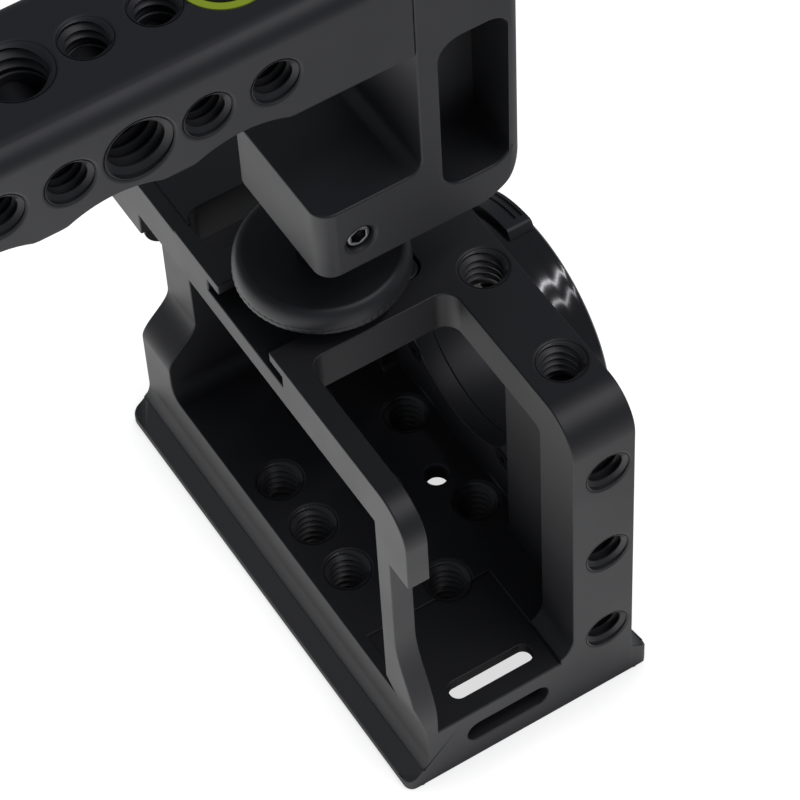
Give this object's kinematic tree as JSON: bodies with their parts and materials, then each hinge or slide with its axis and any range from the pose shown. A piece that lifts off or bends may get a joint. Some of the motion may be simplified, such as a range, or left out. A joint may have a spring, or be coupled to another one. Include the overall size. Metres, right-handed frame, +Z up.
{
  "type": "camera cage",
  "caption": "Small camera cage with a ringed lens opening, dovetail foot, tapped holes all round, a cold shoe with a knurled clamp disc, and a scalloped top handle.",
  "frame": {"origin": "mouth of the tripod thread, in the middle of the base's underside, on the plane that the cage stands on", "axes": "+X along the cage towards its closed end, -Y out of the lens opening, +Z up through the handle"},
  "size_m": [0.0774, 0.1117, 0.1236],
  "materials": {
    "black_anodised": "satin black anodised, fine bead blast",
    "black_gloss": "gloss black anodised, turned",
    "handle_black": "satin black anodised",
    "black_screw": "black oxide",
    "bright_steel": "bright",
    "chrome_screw": "chrome plated",
    "level_green": "translucent yellow-green",
    "level_clear": "clear"
  },
  "bodies": {
    "cage": {"cage_frame": "black_anodised", "end_screw": "black_screw", "lens_flange": "black_anodised", "flange_screws": "black_screw", "stop_pin": "bright_steel", "wave_washer": "bright_steel", "retaining_ring": "black_gloss"},
    "ring": {"lock_ring": "black_gloss"},
    "carriage": {"shoe_plate": "bright_steel", "clamp_stud": "bright_steel"},
    "disc": {"clamp_disc": "handle_black"},
    "handle": {"handle_bracket": "handle_black", "set_screw": "chrome_screw", "grip_beam": "handle_black", "beam_bolts": "black_screw", "beam_pins": "bright_steel", "level_vial": "level_green", "level_fluid": "level_green", "level_bubble": "level_clear", "level_lens": "level_clear"}
  },
  "joints": [
    {"name": "ring_turn", "type": "hinge", "parent": "cage", "child": "ring", "pos_m": [0.001, -0.0235, 0.031], "axis": [0, -1, 0], "range_deg": [0, 60]},
    {"name": "shoe_slide", "type": "slide", "parent": "cage", "child": "carriage", "axis": [0, 1, 0], "range_m": [0, 0.02]},
    {"name": "disc_spin", "type": "hinge", "parent": "carriage", "child": "disc", "pos_m": [0.001, 0.005, 0.066], "axis": [0, 0, 1], "continuous": true},
    {"name": "handle_turn", "type": "hinge", "parent": "carriage", "child": "handle", "pos_m": [0.001, 0.005, 0.08], "axis": [0, 0, 1], "range_deg": [-90, 90]}
  ]
}
